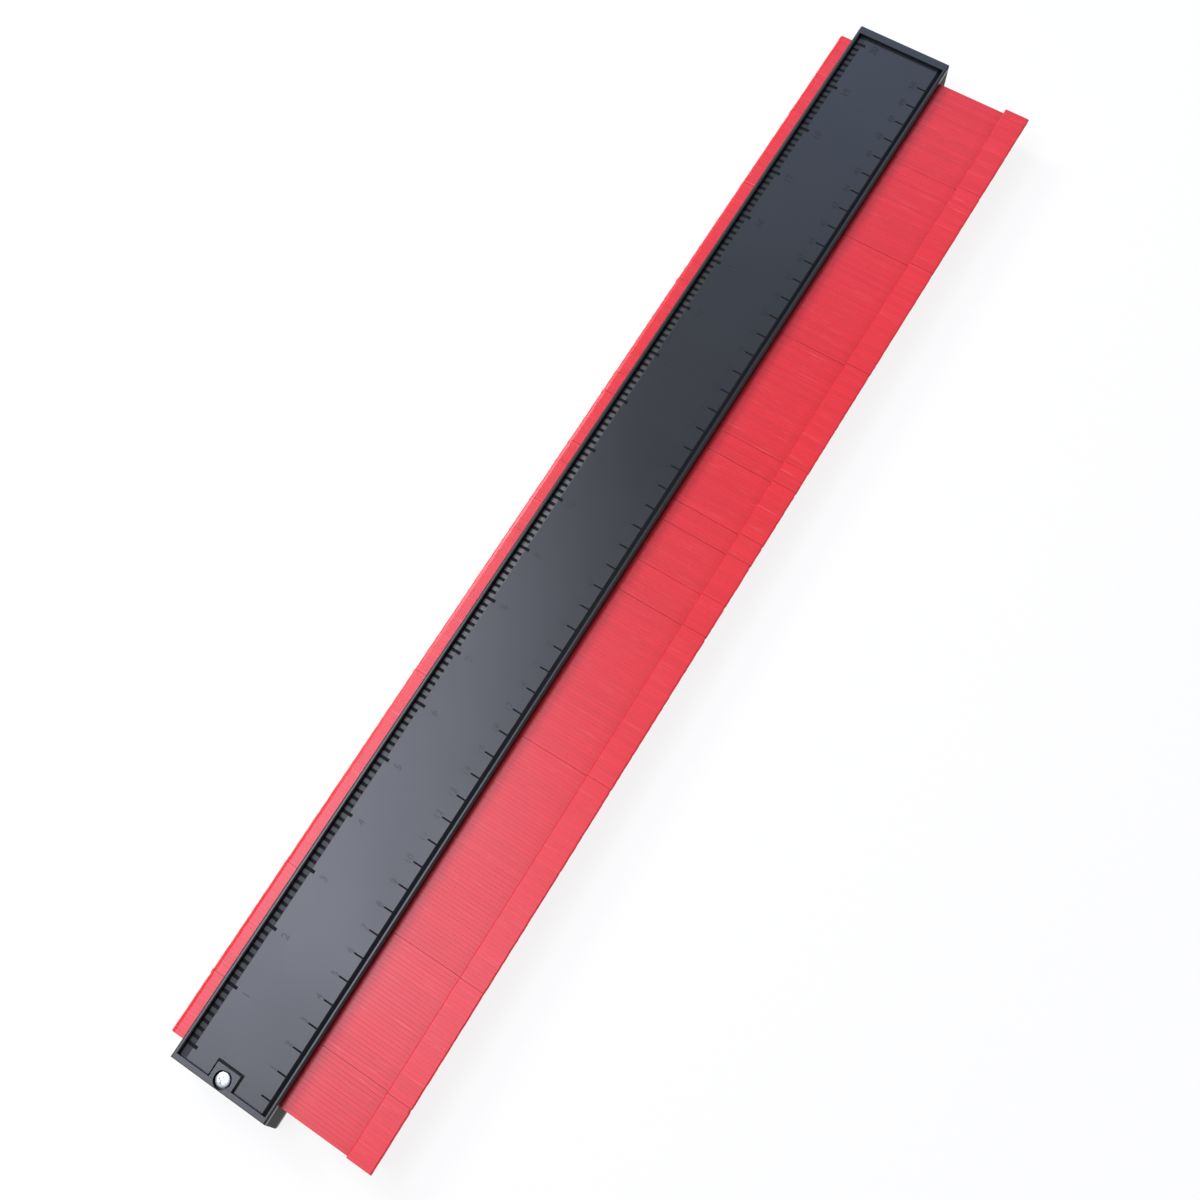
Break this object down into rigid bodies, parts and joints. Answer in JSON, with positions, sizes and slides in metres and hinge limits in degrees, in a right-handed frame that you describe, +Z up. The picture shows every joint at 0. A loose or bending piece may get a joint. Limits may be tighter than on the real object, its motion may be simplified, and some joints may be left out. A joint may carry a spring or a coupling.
{
  "type": "contour gauge",
  "caption": "Contour gauge: a long row of thin plastic fins that slide across a ruled frame and stay where pushed, to copy the outline of a surface.",
  "frame": {"origin": "under the middle of the whole gauge, on the plane that its frame rests on", "axes": "+X along the row of fins towards the far end, +Y the way the fins slide when pushed from their long side, +Z up out of the ruled face"},
  "size_m": [0.5276, 0.094, 0.022],
  "materials": {
    "frame_plastic": "black moulded ABS, satin gloss",
    "fin_plastic": "red moulded ABS, satin gloss",
    "screw_steel": "bright zinc plate",
    "strip_foam": "dense closed-cell foam"
  },
  "bodies": {
    "frame": {"upper_frame": "frame_plastic", "lower_frame": "frame_plastic", "frame_screws": "screw_steel", "upper_friction_strip": "strip_foam", "lower_friction_strip": "strip_foam"},
    "fin_group_01": {"fin_group_01": "fin_plastic"},
    "fin_group_02": {"fin_group_02": "fin_plastic"},
    "fin_group_03": {"fin_group_03": "fin_plastic"},
    "fin_group_04": {"fin_group_04": "fin_plastic"},
    "fin_group_05": {"fin_group_05": "fin_plastic"},
    "fin_group_06": {"fin_group_06": "fin_plastic"},
    "fin_group_07": {"fin_group_07": "fin_plastic"},
    "fin_group_08": {"fin_group_08": "fin_plastic"},
    "fin_group_09": {"fin_group_09": "fin_plastic"},
    "fin_group_10": {"fin_group_10": "fin_plastic"},
    "fin_group_11": {"fin_group_11": "fin_plastic"},
    "fin_group_12": {"fin_group_12": "fin_plastic"},
    "fin_group_13": {"fin_group_13": "fin_plastic"},
    "fin_group_14": {"fin_group_14": "fin_plastic"},
    "fin_group_15": {"fin_group_15": "fin_plastic"},
    "fin_group_16": {"fin_group_16": "fin_plastic"},
    "fin_group_17": {"fin_group_17": "fin_plastic"},
    "fin_group_18": {"fin_group_18": "fin_plastic"},
    "fin_group_19": {"fin_group_19": "fin_plastic"},
    "fin_group_20": {"fin_group_20": "fin_plastic"},
    "fin_group_21": {"fin_group_21": "fin_plastic"},
    "fin_group_22": {"fin_group_22": "fin_plastic"},
    "fin_group_23": {"fin_group_23": "fin_plastic"},
    "fin_group_24": {"fin_group_24": "fin_plastic"},
    "fin_group_25": {"fin_group_25": "fin_plastic"},
    "fin_group_26": {"fin_group_26": "fin_plastic"},
    "fin_group_27": {"fin_group_27": "fin_plastic"},
    "fin_group_28": {"fin_group_28": "fin_plastic"},
    "fin_group_29": {"fin_group_29": "fin_plastic"},
    "fin_group_30": {"fin_group_30": "fin_plastic"},
    "fin_group_31": {"fin_group_31": "fin_plastic"},
    "fin_group_32": {"fin_group_32": "fin_plastic"},
    "fin_group_33": {"fin_group_33": "fin_plastic"},
    "fin_group_34": {"fin_group_34": "fin_plastic"},
    "fin_group_35": {"fin_group_35": "fin_plastic"},
    "fin_group_36": {"fin_group_36": "fin_plastic"},
    "fin_group_37": {"fin_group_37": "fin_plastic"},
    "fin_group_38": {"fin_group_38": "fin_plastic"},
    "fin_group_39": {"fin_group_39": "fin_plastic"},
    "fin_group_40": {"fin_group_40": "fin_plastic"},
    "fin_group_41": {"fin_group_41": "fin_plastic"},
    "fin_group_42": {"fin_group_42": "fin_plastic"},
    "fin_group_43": {"fin_group_43": "fin_plastic"},
    "fin_group_44": {"fin_group_44": "fin_plastic"}
  },
  "joints": [
    {"name": "fin_group_01_slide", "type": "slide", "parent": "frame", "child": "fin_group_01", "axis": [0, 1, 0], "range_m": [0, 0.0313]},
    {"name": "fin_group_02_slide", "type": "slide", "parent": "frame", "child": "fin_group_02", "axis": [0, 1, 0], "range_m": [0, 0.0313]},
    {"name": "fin_group_03_slide", "type": "slide", "parent": "frame", "child": "fin_group_03", "axis": [0, 1, 0], "range_m": [0, 0.0313]},
    {"name": "fin_group_04_slide", "type": "slide", "parent": "frame", "child": "fin_group_04", "axis": [0, 1, 0], "range_m": [0, 0.0313]},
    {"name": "fin_group_05_slide", "type": "slide", "parent": "frame", "child": "fin_group_05", "axis": [0, 1, 0], "range_m": [0, 0.0313]},
    {"name": "fin_group_06_slide", "type": "slide", "parent": "frame", "child": "fin_group_06", "axis": [0, 1, 0], "range_m": [0, 0.0313]},
    {"name": "fin_group_07_slide", "type": "slide", "parent": "frame", "child": "fin_group_07", "axis": [0, 1, 0], "range_m": [0, 0.0313]},
    {"name": "fin_group_08_slide", "type": "slide", "parent": "frame", "child": "fin_group_08", "axis": [0, 1, 0], "range_m": [0, 0.0313]},
    {"name": "fin_group_09_slide", "type": "slide", "parent": "frame", "child": "fin_group_09", "axis": [0, 1, 0], "range_m": [0, 0.0313]},
    {"name": "fin_group_10_slide", "type": "slide", "parent": "frame", "child": "fin_group_10", "axis": [0, 1, 0], "range_m": [0, 0.0313]},
    {"name": "fin_group_11_slide", "type": "slide", "parent": "frame", "child": "fin_group_11", "axis": [0, 1, 0], "range_m": [0, 0.0313]},
    {"name": "fin_group_12_slide", "type": "slide", "parent": "frame", "child": "fin_group_12", "axis": [0, 1, 0], "range_m": [0, 0.0313]},
    {"name": "fin_group_13_slide", "type": "slide", "parent": "frame", "child": "fin_group_13", "axis": [0, 1, 0], "range_m": [0, 0.0313]},
    {"name": "fin_group_14_slide", "type": "slide", "parent": "frame", "child": "fin_group_14", "axis": [0, 1, 0], "range_m": [0, 0.0313]},
    {"name": "fin_group_15_slide", "type": "slide", "parent": "frame", "child": "fin_group_15", "axis": [0, 1, 0], "range_m": [0, 0.0313]},
    {"name": "fin_group_16_slide", "type": "slide", "parent": "frame", "child": "fin_group_16", "axis": [0, 1, 0], "range_m": [0, 0.0313]},
    {"name": "fin_group_17_slide", "type": "slide", "parent": "frame", "child": "fin_group_17", "axis": [0, 1, 0], "range_m": [0, 0.0313]},
    {"name": "fin_group_18_slide", "type": "slide", "parent": "frame", "child": "fin_group_18", "axis": [0, 1, 0], "range_m": [0, 0.0313]},
    {"name": "fin_group_19_slide", "type": "slide", "parent": "frame", "child": "fin_group_19", "axis": [0, 1, 0], "range_m": [0, 0.0313]},
    {"name": "fin_group_20_slide", "type": "slide", "parent": "frame", "child": "fin_group_20", "axis": [0, 1, 0], "range_m": [0, 0.0313]},
    {"name": "fin_group_21_slide", "type": "slide", "parent": "frame", "child": "fin_group_21", "axis": [0, 1, 0], "range_m": [0, 0.0313]},
    {"name": "fin_group_22_slide", "type": "slide", "parent": "frame", "child": "fin_group_22", "axis": [0, 1, 0], "range_m": [0, 0.0313]},
    {"name": "fin_group_23_slide", "type": "slide", "parent": "frame", "child": "fin_group_23", "axis": [0, 1, 0], "range_m": [0, 0.0313]},
    {"name": "fin_group_24_slide", "type": "slide", "parent": "frame", "child": "fin_group_24", "axis": [0, 1, 0], "range_m": [0, 0.0313]},
    {"name": "fin_group_25_slide", "type": "slide", "parent": "frame", "child": "fin_group_25", "axis": [0, 1, 0], "range_m": [0, 0.0313]},
    {"name": "fin_group_26_slide", "type": "slide", "parent": "frame", "child": "fin_group_26", "axis": [0, 1, 0], "range_m": [0, 0.0313]},
    {"name": "fin_group_27_slide", "type": "slide", "parent": "frame", "child": "fin_group_27", "axis": [0, 1, 0], "range_m": [0, 0.0313]},
    {"name": "fin_group_28_slide", "type": "slide", "parent": "frame", "child": "fin_group_28", "axis": [0, 1, 0], "range_m": [0, 0.0313]},
    {"name": "fin_group_29_slide", "type": "slide", "parent": "frame", "child": "fin_group_29", "axis": [0, 1, 0], "range_m": [0, 0.0313]},
    {"name": "fin_group_30_slide", "type": "slide", "parent": "frame", "child": "fin_group_30", "axis": [0, 1, 0], "range_m": [0, 0.0313]},
    {"name": "fin_group_31_slide", "type": "slide", "parent": "frame", "child": "fin_group_31", "axis": [0, 1, 0], "range_m": [0, 0.0313]},
    {"name": "fin_group_32_slide", "type": "slide", "parent": "frame", "child": "fin_group_32", "axis": [0, 1, 0], "range_m": [0, 0.0313]},
    {"name": "fin_group_33_slide", "type": "slide", "parent": "frame", "child": "fin_group_33", "axis": [0, 1, 0], "range_m": [0, 0.0313]},
    {"name": "fin_group_34_slide", "type": "slide", "parent": "frame", "child": "fin_group_34", "axis": [0, 1, 0], "range_m": [0, 0.0313]},
    {"name": "fin_group_35_slide", "type": "slide", "parent": "frame", "child": "fin_group_35", "axis": [0, 1, 0], "range_m": [0, 0.0313]},
    {"name": "fin_group_36_slide", "type": "slide", "parent": "frame", "child": "fin_group_36", "axis": [0, 1, 0], "range_m": [0, 0.0313]},
    {"name": "fin_group_37_slide", "type": "slide", "parent": "frame", "child": "fin_group_37", "axis": [0, 1, 0], "range_m": [0, 0.0313]},
    {"name": "fin_group_38_slide", "type": "slide", "parent": "frame", "child": "fin_group_38", "axis": [0, 1, 0], "range_m": [0, 0.0313]},
    {"name": "fin_group_39_slide", "type": "slide", "parent": "frame", "child": "fin_group_39", "axis": [0, 1, 0], "range_m": [0, 0.0313]},
    {"name": "fin_group_40_slide", "type": "slide", "parent": "frame", "child": "fin_group_40", "axis": [0, 1, 0], "range_m": [0, 0.0313]},
    {"name": "fin_group_41_slide", "type": "slide", "parent": "frame", "child": "fin_group_41", "axis": [0, 1, 0], "range_m": [0, 0.0313]},
    {"name": "fin_group_42_slide", "type": "slide", "parent": "frame", "child": "fin_group_42", "axis": [0, 1, 0], "range_m": [0, 0.0313]},
    {"name": "fin_group_43_slide", "type": "slide", "parent": "frame", "child": "fin_group_43", "axis": [0, 1, 0], "range_m": [0, 0.0313]},
    {"name": "fin_group_44_slide", "type": "slide", "parent": "frame", "child": "fin_group_44", "axis": [0, 1, 0], "range_m": [0, 0.0313]}
  ]
}
